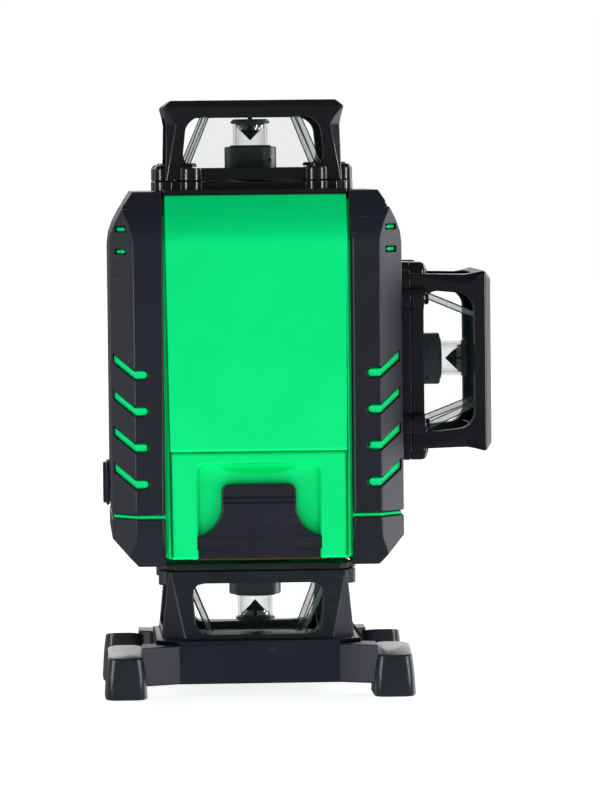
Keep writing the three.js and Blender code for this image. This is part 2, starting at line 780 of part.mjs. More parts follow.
function addLock() {
  const centre = [0, LOCK.z];
  const face = -BODY.halfX - GAP;
  const disc = cylinder(LOCK.knobR, "x", face - 1.2, face, centre, 32);
  const grip = box(face - 2.3, face - 1, -2.6, 2.6, LOCK.z - 7, LOCK.z + 7);
  const socket = box(face - 0.8, face + 1, -1.6, 1.6, LOCK.z - 1.6, LOCK.z + 1.6);
  add("lock_knob", cut(union(disc, grip), socket), "black");
  const tang = box(face - 0.5, face + 0.6, -1.3, 1.3, LOCK.z - 1.3, LOCK.z + 1.3);
  const rod = cylinder(2.6, "x", face + 0.3, -33, centre, 16);
  const web = cylinder(4.6, "x", -33.4, -31, centre, 24);
  const pin = cylinder(LOCK.pinR, "x", -31.5, -27.7, [CRANK_OFFSET, LOCK.z - CRANK_OFFSET], 12);
  add("lock_shaft", union(tang, rod, web, pin), "steel");
  const restPin = LOCK.z - CRANK_OFFSET;
  const plate = box(-29.8, -27.8, -5, 5, 63.6, 75.4);
  const slot = box(-31, -26, 0.3, 4.1, restPin - 1.5, restPin + 1.5);
  const finger = box(-28, -14.3, -4, -0.9, 67.6, 69.6);
  add("brake_slider", union(cut(plate, slot), finger), "aluminium");
}

// ---------------------------------------------------------------- battery pack

function batteryCase() {
  const { halfX, low, high, face, back, recessHalf, recessTop, recessY, scoopR, scoopHalf } = PACK;
  const cover = box(-halfX, halfX, face, -45.2, low, high);
  const tub = box(-27.5, 27.5, -45.5, back - 1.8, 51, 81.7);
  const recess = prism(
    roundedShape([[-recessHalf, 40], [recessHalf, 40], [recessHalf, recessTop], [-recessHalf, recessTop]], 3),
    "y", -60, recessY, 4,
  );
  const scoopRound = cylinder(scoopR, "y", -FAR, -45.6, [0, recessTop + 13.6], 24);
  const scoop = scoopRound.intersect(box(-scoopHalf, scoopHalf, -FAR, 0, 70, 82.2));
  const backwall = box(-24.5, 24.5, recessY, recessY + 1.5, 51, 81.7);
  const room = box(-26, 26, recessY + 1.5, 0, 52.6, 80.1);
  const footRoom = box(-recessHalf, recessHalf, -60, recessY, 40, 51);
  const pinHoles = cylinder(LATCH.pinR + 0.35, "x", -24, 24, [LATCH.hingeY, LATCH.hingeZ], 10);
  return cut(union(cut(union(cover, tub), recess, scoop, footRoom), backwall), room, pinHoles);
}

function batteryLatch() {
  const { hingeY, hingeZ, top, halfTop, halfLow, low, hip, waist, corner, front, back } = LATCH;
  const shape = new THREE.Shape();
  shape.moveTo(-halfLow, low);
  shape.lineTo(halfLow, low);
  shape.lineTo(halfLow, hip);
  shape.quadraticCurveTo(halfTop + 1, hip + 2, halfTop, waist);
  shape.lineTo(halfTop, top - corner);
  shape.quadraticCurveTo(halfTop, top, halfTop - corner, top);
  shape.lineTo(-halfTop + corner, top);
  shape.quadraticCurveTo(-halfTop, top, -halfTop, top - corner);
  shape.lineTo(-halfTop, waist);
  shape.quadraticCurveTo(-halfTop - 1, hip + 2, -halfLow, hip);
  const plate = prism(shape, "y", front, back, 6);
  const groove = box(-30, 30, front - 1, front + 0.5, 67.2, 68.6);
  const roll = cylinder(1.5, "x", -halfLow, halfLow, [hingeY, hingeZ], 10);
  const pin = cylinder(LATCH.pinR, "x", -halfLow - 2, halfLow + 2, [hingeY, hingeZ], 10);
  return union(cut(plate, groove), roll, pin);
}

function addBattery() {
  add("battery_case", batteryCase(), "green");
  add("battery_lid", box(-27.5, 27.5, PACK.back - 1.5, PACK.back, 51, 81.7), "black");
  add("battery_cells", box(-25.5, 25.5, PACK.recessY + 2, PACK.back - 2, 53, 79.7), "cell");
  add("battery_latch", batteryLatch(), "black");
  add("battery_terminal_board", box(-12, 12, PACK.back + 2.5, PACK.back + 4, 56, 82), "board");
}

// ---------------------------------------------------------------- keys and boards

// Keys stand square to the front slope, which runs from the front face up to the top edge.
const SLOPE_ANGLE = Math.atan2(BODY.shoulderY, 13.2);

// Moves a body built with +Z out of the slope and its origin on the slope's surface.
function onSlope(body, x) {
  const tilt = THREE.MathUtils.radToDeg(SLOPE_ANGLE) - 90;
  return body.rotate([tilt, 0, 0]).translate([x, slopeY(KEY.z), KEY.z]);
}

const slopeY = (z) => BODY.halfY - BODY.shoulderY + (BODY.top - z) * Math.tan(SLOPE_ANGLE);

const KEY_PLACES = [-KEY.pitch, 0, KEY.pitch];

function keyOpenings() {
  const opening = () => box(-KEY.halfX - 0.35, KEY.halfX + 0.35, -KEY.halfS - 0.35, KEY.halfS + 0.35, -9, 6);
  return union(...KEY_PLACES.map((x) => onSlope(opening(), x)));
}

function addKeys() {
  const names = ["key_horizontal", "key_vertical", "key_pulse"];
  names.forEach((name, i) => {
    const cap = box(-KEY.halfX, KEY.halfX, -KEY.halfS, KEY.halfS, -3.2, 0.8);
    const stem = box(-1.5, 1.5, -1.5, 1.5, -6.2, -3);
    add(name, onSlope(union(cap, stem), KEY_PLACES[i]), "black");
  });
  add("keypad_board", onSlope(box(-24, 24, -3.6, 3.6, -8.6, -7), 0), "board");
  add("main_board", box(-43.4, -41.8, -30, 30, 92, 150), "board");
}

// ---------------------------------------------------------------- assembly

addHousing();
addCages();
addStand();
addModules();
addPendulum();
addLock();
addBattery();
addKeys();

export default level;
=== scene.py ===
"""Looks of the multi-plane laser level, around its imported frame. Shapes are in millimetres."""

import json
import math

import bmesh
import bpy
from mathutils import Euler, Matrix, Vector


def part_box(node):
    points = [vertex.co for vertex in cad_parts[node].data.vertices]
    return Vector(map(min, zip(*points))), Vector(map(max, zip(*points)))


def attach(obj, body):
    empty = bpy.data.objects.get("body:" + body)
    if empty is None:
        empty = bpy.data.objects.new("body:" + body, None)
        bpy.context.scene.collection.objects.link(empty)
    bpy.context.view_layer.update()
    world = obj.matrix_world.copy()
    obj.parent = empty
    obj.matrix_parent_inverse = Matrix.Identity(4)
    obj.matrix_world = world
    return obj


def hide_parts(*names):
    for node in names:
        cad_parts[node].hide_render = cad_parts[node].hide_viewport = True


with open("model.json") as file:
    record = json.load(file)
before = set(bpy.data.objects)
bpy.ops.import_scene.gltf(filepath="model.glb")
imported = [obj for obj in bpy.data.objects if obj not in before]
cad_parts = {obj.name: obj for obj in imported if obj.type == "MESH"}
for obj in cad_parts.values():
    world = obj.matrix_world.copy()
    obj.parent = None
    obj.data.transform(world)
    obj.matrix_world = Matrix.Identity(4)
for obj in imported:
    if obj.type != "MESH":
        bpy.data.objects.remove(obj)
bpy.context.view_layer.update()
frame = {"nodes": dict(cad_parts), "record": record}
MM = 0.001
TO_METRES = Matrix.Scale(MM, 4)


# ------------------------------------------------------------------ places taken from the frame


def span(node):
    """Lowest and highest corner of a CAD node, in millimetres."""
    low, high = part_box(node)
    return low / MM, high / MM


FLOOR = span("foot_rear_left")[0].z
GUARD_LOW, GUARD_HIGH = span("right_guard")
GUARD_INNER = GUARD_LOW.x
BODY_HALF_X, BODY_HALF_Y, BODY_TOP = GUARD_HIGH
BODY_BOTTOM = span("right_bumper")[0].z
SIDE_LOW, SIDE_HIGH = span("side_cage")
SIDE_AXIS = (SIDE_LOW.z + SIDE_HIGH.z) / 2
CAGE_LOW = span("top_cage")[0].z - BODY_TOP
CAGE_HIGH = span("top_cage")[1].z - BODY_TOP
GLASS_HIGH = span("top_glass")[1].z - BODY_TOP
BARREL_R = span("top_laser_barrel")[1].x
FAR = 60.0  # further than the stand or a cage reaches from its own middle
QUARTER = math.pi / 2


def face_frame(place, turn):
    return Matrix.Translation(place) @ Euler(turn).to_matrix().to_4x4()


# Each laser leaves the body by one face; a face's own frame has +Z pointing away from the body.
FACES = {
    "top": face_frame((0, 0, BODY_TOP), (0, 0, 0)),
    "side": face_frame((BODY_HALF_X, 0, SIDE_AXIS), (0, QUARTER, 0)),
    "front": face_frame((0, BODY_HALF_Y, SIDE_AXIS), (-QUARTER, 0, 0)),
    "bottom": face_frame((0, 0, BODY_BOTTOM), (2 * QUARTER, 0, 0)),
}


# ------------------------------------------------------------------ mesh tools


def link(bm, name):
    """A new object that holds bm."""
    mesh = bpy.data.meshes.new(name)
    bmesh.ops.recalc_face_normals(bm, faces=bm.faces)
    bm.to_mesh(mesh)
    bm.free()
    obj = bpy.data.objects.new(name, mesh)
    bpy.context.scene.collection.objects.link(obj)
    return obj


def loft(rings):
    """A solid through rings of points with equal counts; the first and last ring are capped."""
    bm = bmesh.new()
    made = [[bm.verts.new(point) for point in ring] for ring in rings]
    for lower, upper in zip(made, made[1:]):
        for i in range(len(lower)):
            j = (i + 1) % len(lower)
            bm.faces.new((lower[i], lower[j], upper[j], upper[i]))
    bm.faces.new(list(reversed(made[0])))
    bm.faces.new(made[-1])
    return link(bm, "shape")


def at_height(outline, z):
    return [(x, y, z) for x, y in outline]


def prism(outline, low, high):
    return loft([at_height(outline, low), at_height(outline, high)])


def moved(obj, matrix):
    """Transforms the mesh of obj and keeps its faces pointing outwards."""
    obj.data.transform(matrix)
    if matrix.determinant() < 0:
        obj.data.flip_normals()
    return obj


SWAP_FOR = {
    "x": Matrix(((0, 0, 1, 0), (1, 0, 0, 0), (0, 1, 0, 0), (0, 0, 0, 1))),
    "y": Matrix(((1, 0, 0, 0), (0, 0, 1, 0), (0, 1, 0, 0), (0, 0, 0, 1))),
}


def along(obj, axis):
    """Turns a solid drawn along +Z so that it runs along x or y; outlines then read (y, z) or (x, z)."""
    return moved(obj, SWAP_FOR[axis])


def rectangle(low, high):
    return [(low[0], low[1]), (high[0], low[1]), (high[0], high[1]), (low[0], high[1])]


def square_at(x, y, half):
    return rectangle((x - half, y - half), (x + half, y + half))


def block(low, high):
    return prism(rectangle(low, high), low[2], high[2])


def circle(radius, centre=(0, 0), segments=32):
    steps = [2 * math.pi * (i + 0.5) / segments for i in range(segments)]
    return [(centre[0] + radius * math.cos(a), centre[1] + radius * math.sin(a)) for a in steps]


def turned(profile, segments=64, closed=False):
    """A body of revolution about +Z. An open profile starts and ends on the axis."""
    bm = bmesh.new()
    rings = []
    for radius, z in profile:
        if radius == 0:
            rings.append([bm.verts.new((0, 0, z))])
        else:
            rings.append([bm.verts.new((x, y, z)) for x, y in circle(radius, segments=segments)])
    pairs = list(zip(rings, rings[1:] + rings[:1])) if closed else list(zip(rings, rings[1:]))
    for lower, upper in pairs:
        for i in range(segments):
            j = (i + 1) % segments
            below = [lower[k % len(lower)] for k in (i, j)]
            above = [upper[k % len(upper)] for k in (j, i)]
            unique = list(dict.fromkeys(below + above))
            if len(unique) > 2:
                bm.faces.new(unique)
    return link(bm, "turned")


def clipped(half_x, half_y, clip):
    """A rectangle with its corners cut off."""
    near_x = half_x - clip
    near_y = half_y - clip
    right = [(near_x, -half_y), (half_x, -near_y), (half_x, near_y), (near_x, half_y)]
    return right + [(-x, -y) for x, y in right]


ARC_PULL = 1.2  # how strongly a rounded corner's curve is drawn to the corner


def rounded(corners, radius, steps=8):
    """A polygon with an arc-like curve at each corner."""
    points = [Vector(corner) for corner in corners]
    outline = []
    for i, corner in enumerate(points):
        start = corner + (points[i - 1] - corner).normalized() * radius
        end = corner + (points[(i + 1) % len(points)] - corner).normalized() * radius
        for step in range(steps + 1):
            t = step / steps
            weight = (1 - t) ** 2, ARC_PULL * t * (1 - t), t * t
            point = (start * weight[0] + corner * weight[1] + end * weight[2]) / sum(weight)
            outline.append((point.x, point.y))
    return outline


def copy_of(obj):
    twin = obj.copy()
    twin.data = obj.data.copy()
    bpy.context.scene.collection.objects.link(twin)
    return twin


def collect(bm, obj):
    """Adds an object's mesh to bm and deletes the object."""
    bm.from_mesh(obj.data)
    bpy.data.objects.remove(obj)


MIRROR_X = Matrix.Scale(-1, 4, (1, 0, 0))
MIRROR_Y = Matrix.Scale(-1, 4, (0, 1, 0))


def four_ways(obj):
    """The solid and its mirror images in X and Y."""
    mirrors = (MIRROR_X, MIRROR_Y, MIRROR_X @ MIRROR_Y)
    return [obj] + [moved(copy_of(obj), mirror) for mirror in mirrors]


def combine(base, tools, operation):
    """Joins or cuts base with each tool in turn, and uses the tools up."""
    for tool in tools:
        step = base.modifiers.new("step", "BOOLEAN")
        step.object = tool
        step.operation = operation
        step.solver = "EXACT"
    evaluated = base.evaluated_get(bpy.context.evaluated_depsgraph_get())
    mesh = bpy.data.meshes.new_from_object(evaluated)
    base.modifiers.clear()
    base.data = mesh
    for tool in tools:
        bpy.data.objects.remove(tool)
    return base


def join(base, *tools):
    return combine(base, tools, "UNION")


def cut(base, *tools):
    return combine(base, tools, "DIFFERENCE")


MERGE_DISTANCE = 0.002
FLAT_ANGLE = math.radians(0.5)
CONVEX_SLACK = 0.002
STRAIGHT = -0.99999  # two edges are in line when their directions' dot product is below this


def corner_at(face, vert):
    return next(loop for loop in face.loops if loop.vert == vert).calc_angle()


def convex_together(first, second):
    """True if two flat faces share one unbroken run of edges and make a convex face when joined."""
    shared = set(first.edges) & set(second.edges)
    verts = set(first.verts) & set(second.verts)
    if len(verts) != len(shared) + 1:
        return False
    ends = [v for v in verts if sum(1 for e in v.link_edges if e in shared) == 1]
    return all(corner_at(first, v) + corner_at(second, v) < math.pi + CONVEX_SLACK for v in ends)


def cleaned(bm):
    """Merges flat neighbours into larger convex faces."""
    bmesh.ops.remove_doubles(bm, verts=bm.verts, dist=MERGE_DISTANCE)
    bmesh.ops.dissolve_degenerate(bm, edges=bm.edges, dist=MERGE_DISTANCE)
    bm.normal_update()
    flat = [e for e in bm.edges if len(e.link_faces) == 2 and e.calc_face_angle(0) < FLAT_ANGLE]
    flat.sort(key=lambda e: -e.calc_length())
    for edge in flat:
        if edge.is_valid and len(edge.link_faces) == 2 and convex_together(*edge.link_faces):
            bmesh.utils.face_join(list(edge.link_faces), True)
    for vert in list(bm.verts):
        if vert.is_valid and len(vert.link_edges) == 2:
            ways = [(e.other_vert(vert).co - vert.co).normalized() for e in vert.link_edges]
            if ways[0].dot(ways[1]) < STRAIGHT:
                bmesh.utils.vert_dissolve(vert)
    bm.normal_update()


def soften(obj, width, segments=3, angle=24, rule=None):
    """Bevels convex edges by width, or by what rule(edge middle, edge direction) returns if not None."""
    bm = bmesh.new()
    bm.from_mesh(obj.data)
    cleaned(bm)
    widths = []
    for edge in bm.edges:
        value = 0.0
        if len(edge.link_faces) == 2 and edge.calc_face_angle_signed(0) > math.radians(angle):
            value = width
            if rule:
                middle = (edge.verts[0].co + edge.verts[1].co) / 2
                direction = (edge.verts[1].co - edge.verts[0].co).normalized()
                chosen = rule(middle, direction)
                value = width if chosen is None else chosen
        widths.append(value)
    widest = max(widths + [1e-6])
    layer = bm.edges.layers.float.new("bevel_weight_edge")
    for edge, value in zip(bm.edges, widths):
        edge[layer] = value / widest
    for face in bm.faces:
        face.smooth = True
    bm.to_mesh(obj.data)
    bm.free()
    obj.data.set_sharp_from_angle(angle=math.radians(angle))
    bevel = obj.modifiers.new("edges", "BEVEL")
    bevel.limit_method = "WEIGHT"
    bevel.width = widest * MM
    bevel.segments = segments
    bevel.use_clamp_overlap = False
    bevel.loop_slide = False
    bevel.harden_normals = True
    bevel.miter_outer = "MITER_ARC"
    return obj


def smooth(obj, angle=30):
    for polygon in obj.data.polygons:
        polygon.use_smooth = True
    obj.data.set_sharp_from_angle(angle=math.radians(angle))
    return obj


def piece(obj, name, body, material, replaces=(), matrix=None):
    """Puts a finished solid in place: metres, a name, a material and the body that it rides on."""
    if matrix is not None:
        moved(obj, matrix)
    obj.data.transform(TO_METRES)
    obj.name = name
    obj.data.name = name
    obj.data.materials.clear()
    obj.data.materials.append(MATERIALS[material])
    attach(obj, body)
    if replaces:
        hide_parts(*replaces)
    return obj


def cad_copy(node):
    """The CAD node's solid as a new object in millimetres."""
    source = frame["nodes"][node]
    mesh = source.data.copy()
    if "custom_normal" in mesh.attributes:
        mesh.attributes.remove(mesh.attributes["custom_normal"])
    mesh.transform(Matrix.Scale(1 / MM, 4))
    obj = bpy.data.objects.new("copy", mesh)
    bpy.context.scene.collection.objects.link(obj)
    return obj


# ------------------------------------------------------------------ materials


def node_tree(name):
    material = bpy.data.materials.new(name)
    material.use_nodes = True
    tree = material.node_tree
    return material, tree, tree.nodes["Principled BSDF"]


def add_noise(tree, scale, detail=4.0, stretch=(1, 1, 1)):
    """Noise in object space; scale is in waves for each metre."""
    place = tree.nodes.new("ShaderNodeTexCoord")
    mapping = tree.nodes.new("ShaderNodeMapping")
    mapping.inputs["Scale"].default_value = stretch
    noise = tree.nodes.new("ShaderNodeTexNoise")
    noise.inputs["Scale"].default_value = scale
    noise.inputs["Detail"].default_value = detail
    tree.links.new(place.outputs["Object"], mapping.inputs["Vector"])
    tree.links.new(mapping.outputs["Vector"], noise.inputs["Vector"])
    return noise.outputs["Fac"]


def spread(tree, value, low, high):
    """Stretches the middle of a noise value over a range."""
    remap = tree.nodes.new("ShaderNodeMapRange")
    remap.inputs["To Min"].default_value = low
    remap.inputs["To Max"].default_value = high
    remap.inputs["From Min"].default_value = 0.3
    remap.inputs["From Max"].default_value = 0.7
    tree.links.new(value, remap.inputs["Value"])
    return remap.outputs["Result"]


def tint(tree, value, low, high):
    """Mixes two colours by a value."""
    mix = tree.nodes.new("ShaderNodeMix")
    mix.data_type = "RGBA"
    mix.inputs["A"].default_value = (*low, 1)
    mix.inputs["B"].default_value = (*high, 1)
    tree.links.new(value, mix.inputs["Factor"])
    return mix.outputs["Result"]


def falloff(tree, value, start, end, amount):
    """A value that rises smoothly from 0 at start to amount at end."""
    remap = tree.nodes.new("ShaderNodeMapRange")
    remap.interpolation_type = "SMOOTHSTEP"
    remap.inputs["From Min"].default_value = start
    remap.inputs["From Max"].default_value = end
    remap.inputs["To Max"].default_value = amount
    tree.links.new(value, remap.inputs["Value"])
    return remap.outputs["Result"]


def math_node(tree, operation, first, second):
    """The result of a sum on two values, each of them a number or a socket."""
    node = tree.nodes.new("ShaderNodeMath")
    node.operation = operation
    for socket, value in zip(node.inputs, (first, second)):
        if isinstance(value, (int, float)):
            socket.default_value = value
        else:
            tree.links.new(value, socket)
    return node.outputs["Value"]


def add_bump(tree, shader, height, strength, depth):
    """Roughens the surface by a height value; depth is in metres."""
    bump = tree.nodes.new("ShaderNodeBump")
    bump.inputs["Strength"].default_value = strength
    bump.inputs["Distance"].default_value = depth
    tree.links.new(height, bump.inputs["Height"])
    tree.links.new(bump.outputs["Normal"], shader.inputs["Normal"])


SCUFF_STRENGTH = 0.5
SCUFF_COLOUR = (0.06, 0.068, 0.078, 1)


def scuffed(tree, colour):
    """Faint pale rub marks, long along X and Y, where two noises both peak."""
    marks = falloff(tree, add_noise(tree, 420, 3, (0.25, 0.25, 1.6)), 0.6, 0.72, 1.0)
    patches = falloff(tree, add_noise(tree, 28, 2), 0.52, 0.66, SCUFF_STRENGTH)
    worn = tree.nodes.new("ShaderNodeMix")
    worn.data_type = "RGBA"
    worn.inputs["B"].default_value = SCUFF_COLOUR
    tree.links.new(math_node(tree, "MULTIPLY", marks, patches), worn.inputs["Factor"])
    tree.links.new(colour, worn.inputs["A"])
    return worn.outputs["Result"]


def plastic(name, dark, light, roughness, grain, depth, coat=0.0, specular=0.5, scuffs=False):
    """Moulded plastic: slight colour drift, a fine grain in the bump and uneven gloss."""
    material, tree, shader = node_tree(name)
    drift = add_noise(tree, 35, 3)
    fine = add_noise(tree, grain, 6)
    colour = tint(tree, spread(tree, drift, 0, 1), dark, light)
    tree.links.new(scuffed(tree, colour) if scuffs else colour, shader.inputs["Base Color"])
    tree.links.new(spread(tree, fine, roughness - 0.06, roughness + 0.06), shader.inputs["Roughness"])
    add_bump(tree, shader, fine, 0.6, depth)
    shader.inputs["Coat Weight"].default_value = coat
    shader.inputs["Coat Roughness"].default_value = 0.12
    shader.inputs["Specular IOR Level"].default_value = specular
    return material


def metal(name, dark, light, roughness, stretch, scale=1500, depth=0.00001):
    """Machined or cast metal with tool marks along one direction."""
    material, tree, shader = node_tree(name)
    marks = add_noise(tree, scale, 5, stretch)
    tree.links.new(tint(tree, spread(tree, marks, 0, 1), dark, light), shader.inputs["Base Color"])
    tree.links.new(spread(tree, marks, roughness - 0.07, roughness + 0.07), shader.inputs["Roughness"])
    add_bump(tree, shader, marks, 0.4, depth)
    shader.inputs["Metallic"].default_value = 1.0
    return material


def clear_glass(name, colour, alpha, roughness=0.02):
    """Thin clear glass: mostly see-through, mirror-like at a glancing angle, with a little dust."""
    material, tree, shader = node_tree(name)
    dust = add_noise(tree, 60, 5)
    shader.inputs["Base Color"].default_value = (*colour, 1)
    tree.links.new(spread(tree, dust, roughness, roughness + 0.04), shader.inputs["Roughness"])
    shader.inputs["Specular IOR Level"].default_value = 0.5
    shader.inputs["IOR"].default_value = 1.5
    facing = tree.nodes.new("ShaderNodeLayerWeight")
    facing.inputs["Blend"].default_value = 0.15
    cover = tree.nodes.new("ShaderNodeMapRange")
    cover.inputs["To Min"].default_value = alpha
    cover.inputs["To Max"].default_value = min(1.0, alpha + 0.5)
    tree.links.new(facing.outputs["Facing"], cover.inputs["Value"])
    tree.links.new(cover.outputs["Result"], shader.inputs["Alpha"])
    return material


PLASTICS = {  # name, dark and light tone, roughness, grain in waves for each metre, its depth in metres
    "green": ("green_abs", (0.0, 0.72, 0.19), (0.0, 0.78, 0.215), 0.45, 2600, 0.000004),
    "armour": ("armour_nylon", (0.0075, 0.0095, 0.017), (0.0095, 0.012, 0.021), 0.42, 4200, 0.00003),
    "gloss": ("cage_black", (0.0055, 0.0065, 0.0085), (0.008, 0.0095, 0.012), 0.2, 1400, 0.000002),
    "stand": ("stand_black", (0.0085, 0.0105, 0.0165), (0.0115, 0.014, 0.0215), 0.42, 3400, 0.00006),
    "rubber": ("foot_rubber", (0.010, 0.013, 0.019), (0.014, 0.0175, 0.025), 0.34, 2400, 0.00003),
    "keypad": ("key_silicone", (0.018, 0.02, 0.023), (0.026, 0.028, 0.032), 0.6, 3000, 0.00002),
    "carrier": ("carrier_nylon", (0.03, 0.03, 0.034), (0.05, 0.05, 0.054), 0.55, 2600, 0.00003),
    "board": ("solder_mask", (0.008, 0.09, 0.035), (0.014, 0.14, 0.06), 0.35, 900, 0.00002),
    "cell": ("cell_wrap", (0.03, 0.11, 0.3), (0.05, 0.16, 0.42), 0.3, 700, 0.00002),
    "barrel": ("black_anodised", (0.03, 0.033, 0.036), (0.042, 0.046, 0.05), 0.3, 1600, 0.000004),
    "seam": ("glue_line", (0.008, 0.011, 0.011), (0.014, 0.018, 0.017), 0.4, 2000, 0.00001),
}
PLASTIC_EXTRAS = {
    "green": {"specular": 0.05},
    "armour": {"specular": 0.42, "scuffs": True},
    "stand": {"specular": 0.32, "scuffs": True},
    "board": {"coat": 0.3},
    "seam": {"specular": 0.2},
}
METALS = {  # name, dark and light tone, roughness, stretch of the tool marks, waves for each metre
    "mirror": ("silvered_cone", (0.62, 0.64, 0.66), (0.72, 0.74, 0.76), 0.1, (1, 1, 10), 900),
    "alloy": ("die_cast", (0.42, 0.43, 0.44), (0.55, 0.56, 0.57), 0.42, (1, 1, 1), 900, 0.00004),
    "copper": ("turned_copper", (0.62, 0.3, 0.17), (0.76, 0.42, 0.26), 0.25, (1, 1, 14)),
    "brass": ("turned_brass", (0.52, 0.38, 0.14), (0.66, 0.5, 0.22), 0.28, (1, 1, 14)),
    "dark_brass": ("blackened_brass", (0.02, 0.018, 0.016), (0.045, 0.04, 0.034), 0.4, (1, 1, 14)),
    "steel": ("ground_steel", (0.5, 0.51, 0.52), (0.62, 0.63, 0.64), 0.24, (1, 1, 10)),
    "screw": ("black_screw", (0.03, 0.03, 0.033), (0.06, 0.06, 0.064), 0.3, (1, 1, 1), 1200),
}
GLASSES = {  # name, tint, cover when seen face on
    "window": ("window_glass", (0.05, 0.12, 0.115), 0.035),
    "tube": ("tube_glass", (0.03, 0.035, 0.035), 0.05),
    # The panes' mitred ends: the glass's own green, made much lighter than the faces' tint as painted light
    # for the brightness seen through a pane's edge.
    "glass_edge": ("glass_edge", (0.34, 0.43, 0.42), 0.17, 0.15),
}
MATERIALS = {key: plastic(*look, **PLASTIC_EXTRAS.get(key, {})) for key, look in PLASTICS.items()}
MATERIALS.update({key: metal(*look) for key, look in METALS.items()})
MATERIALS.update({key: clear_glass(*look) for key, look in GLASSES.items()})

# The record's material slots, and the material that stands for each.
SLOT_FINISH = {
    "green_plastic": "green",
    "armour_plastic": "armour",
    "cage_plastic": "gloss",
    "stand_plastic": "stand",
    "foot_rubber": "rubber",
    "key_rubber": "keypad",
    "carrier_plastic": "carrier",
    "circuit_board": "board",
    "cell_wrap": "cell",
    "black_anodised": "barrel",
    "cone_mirror": "mirror",
    "die_cast_alloy": "alloy",
    "copper": "copper",
    "brass": "brass",
    "blackened_brass": "dark_brass",
    "bright_steel": "steel",
    "window_glass": "window",
    "tube_glass": "tube",
}
SLOTS = {finish: slot for slot, finish in SLOT_FINISH.items()}
SLOTS.update({"screw": "bright_steel", "glass_edge": "window_glass", "seam": "window_glass"})


def finish_cad_nodes():
    """Gives every CAD node the procedural material of its slot."""
    for entry in frame["record"]["subparts"]:
        data = frame["nodes"][entry["node"]].data
        data.materials.clear()
        data.materials.append(MATERIALS[SLOT_FINISH[entry["material_slot"]]])


# ------------------------------------------------------------------ housing and guards


UPRIGHT = 0.9  # an edge runs mostly along an axis when its direction's share of it is above this
DEAD_UPRIGHT = 0.995
SHOULDER_ZONE = 20.0  # the guards' bent shoulders, where only fine bevels fit
SHOULDER_FROM = GUARD_INNER + 3
FINE_EDGE = 0.1
GUARD_EDGE = 0.45
PANEL_SIDE_EDGE = 1.5


def guard_rule(middle, direction):
    """The edge beside the green panel is a broad bevel, and those of the bent shoulders are fine."""
    on_shoulder = middle.z > BODY_TOP - SHOULDER_ZONE and abs(middle.x) > SHOULDER_FROM
    if on_shoulder and abs(direction.z) < DEAD_UPRIGHT:
        return FINE_EDGE
    outside = abs(middle.y) > BODY_HALF_Y - 0.2
    if abs(direction.z) > UPRIGHT and outside and abs(middle.x) < GUARD_INNER + 0.5:
        return PANEL_SIDE_EDGE
    return None


def build_guards():
    for node in ("left_guard", "right_guard", "left_bumper", "right_bumper"):
        shell = soften(cad_copy(node), GUARD_EDGE, rule=guard_rule)
        piece(shell, node + "_shell", "body", "armour", [node])


BATTERY_LOW, BATTERY_HIGH = span("battery_case")
SEAM_EDGE = 1.2  # bevel of the panel's lower edge, above the battery
SEAM_TOP = BATTERY_HIGH.z + 1.2
BEND_EDGE = 1.8
BEND_ZONE = (SIDE_HIGH.z, BODY_TOP - 8)
PANEL_ZONE = 4 - BODY_HALF_Y  # the rear panel lies below this in Y


def housing_rule(middle, direction):
    """The bend between rear panel and slope is broad, the panel's lower edge is a visible bevel."""
    if abs(direction.x) > UPRIGHT and middle.y < PANEL_ZONE:
        if BEND_ZONE[0] < middle.z < BEND_ZONE[1]:
            return BEND_EDGE
        if SEAM_TOP - 2 < middle.z < SEAM_TOP:
            return SEAM_EDGE
    return None


def build_housing():
    for node in ("rear_housing", "front_housing"):
        shell = soften(cad_copy(node), 0.5, 4, rule=housing_rule)
        piece(shell, node + "_shell", "body", "green", [node])


# ------------------------------------------------------------------ cages, decks and glass

CAGE_HALF = 30.7
POST = 8.3  # width of the cage's corner posts
SILL = 7.8
LINTEL = 25.2
LINTEL_ROOM = LINTEL + 2.6  # the hollow inside the cage ends here
WINDOW_SILL_HALF = 24.4
WINDOW_LINTEL_HALF = 22.6
WINDOW_CORNER = 5.0
BOSS_ALONG = 21.3
BOSS_OUT = 30.0
BOSS_R = 3.9
BOSS_DOME = 2.0
BOSS_SEGMENTS = 24
DECK_HALF = 31.2
DECK_CLIP = 3.2
BARREL_ROOM = 13.3  # radius of the hole that a laser module swings in
GLASS_SLOPE = math.tan(math.radians(22.7))
GLASS_AT_SILL = 24.3
GLASS_SILL = 7.7
PANE = 2.1
PANE_DEPTH = PANE / math.cos(math.atan(GLASS_SLOPE))  # thickness of a pane, measured level
PANE_GAP = 0.12
GLUE_LINE = 0.2


def glass_half(z):
    return GLASS_AT_SILL - GLASS_SLOPE * (z - GLASS_SILL)


def boss_places():
    for s in (-1, 1):
        for t in (-1, 1):
            yield s * BOSS_ALONG, t * BOSS_OUT
            yield s * BOSS_OUT, t * BOSS_ALONG


def window_tools():
    """The trapezoid openings, straight through the cage both ways."""
    low, high = WINDOW_SILL_HALF, WINDOW_LINTEL_HALF
    outline = rounded([(-low, SILL), (low, SILL), (high, LINTEL), (-high, LINTEL)], WINDOW_CORNER)
    return [along(prism(outline, -FAR, FAR), axis) for axis in ("x", "y")]


def glass_room():
    """The room that the glass hood needs inside the cage."""
    rings = []
    for z in (1.0, LINTEL_ROOM):
        half = glass_half(z) + 0.35
        rings.append(at_height(clipped(half, half, 0.2), z))
    return loft(rings)


def domed_boss(place):
    inset_and_height = [(0, CAGE_LOW)]
    for angle in range(0, 90, 15):
        turn = math.radians(angle)
        height = SILL - 0.7 + BOSS_DOME * math.sin(turn)
        inset_and_height.append((BOSS_DOME * (1 - math.cos(turn)), height))
    rings = [(circle(BOSS_R - inset, place, BOSS_SEGMENTS), z) for inset, z in inset_and_height]
    return loft([at_height(ring, z) for ring, z in rings])


